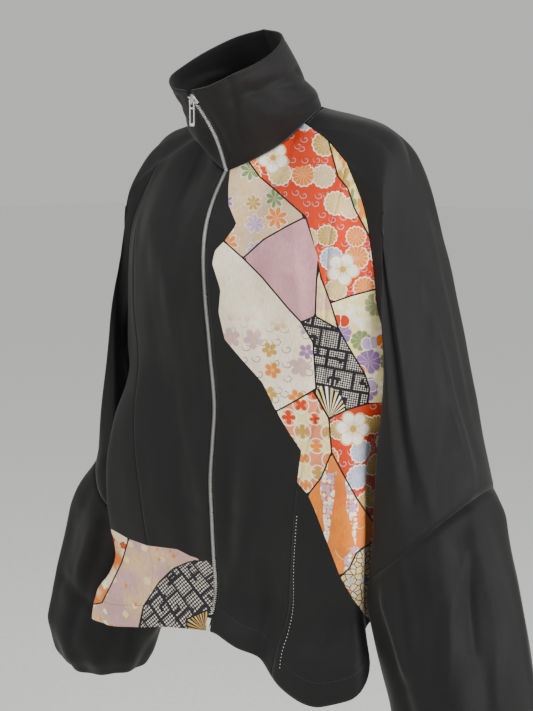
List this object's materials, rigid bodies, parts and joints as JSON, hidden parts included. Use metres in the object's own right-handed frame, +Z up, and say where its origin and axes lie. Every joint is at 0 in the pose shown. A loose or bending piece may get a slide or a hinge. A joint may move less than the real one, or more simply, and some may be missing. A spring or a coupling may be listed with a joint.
{
  "type": "kimono jacket",
  "caption": "Hollow zip-front jacket in its worn form, with a tall collar, raglan sleeves gathered into full lower sleeves, and patchwork-printed fronts",
  "frame": {"origin": "centre line, on the shoulder line at the height of the side neck, where the wearer's shoulders hold it", "axes": "+X to the wearer's left, -Y to the front, +Z up"},
  "size_m": [0.7778, 0.2415, 0.8659],
  "materials": {
    "black_cloth": "smooth black crepe with a soft sheen",
    "printed_cloth": "black cloth with traditional patchwork print in vermilion, cream, pink and gold",
    "elastic_cuff": "black gathered elastic",
    "zip_tape": "woven black tape",
    "zip_metal": "bright silver metal"
  },
  "bodies": {
    "garment": {"collar": "black_cloth", "front_left_centre": "printed_cloth", "front_left_side": "printed_cloth", "back_left": "black_cloth", "sleeve_left_upper": "black_cloth", "sleeve_left_lower": "black_cloth", "cuff_left": "elastic_cuff", "zip_tape_left": "zip_tape", "front_right_centre": "printed_cloth", "front_right_side": "printed_cloth", "back_right": "black_cloth", "sleeve_right_upper": "black_cloth", "sleeve_right_lower": "black_cloth", "cuff_right": "elastic_cuff", "zip_tape_right": "zip_tape", "zip_chain": "zip_metal", "zip_box": "zip_metal", "zip_slider": "zip_metal", "zip_bail": "zip_metal"},
    "pull_tab": {"zip_pull_tab": "zip_metal"}
  },
  "joints": [
    {"name": "pull_tab_swing", "type": "hinge", "parent": "garment", "child": "pull_tab", "pos_m": [0, -0.13148, 0.00462], "axis": [-1, 0, 0], "range_deg": [-20, 135]}
  ]
}
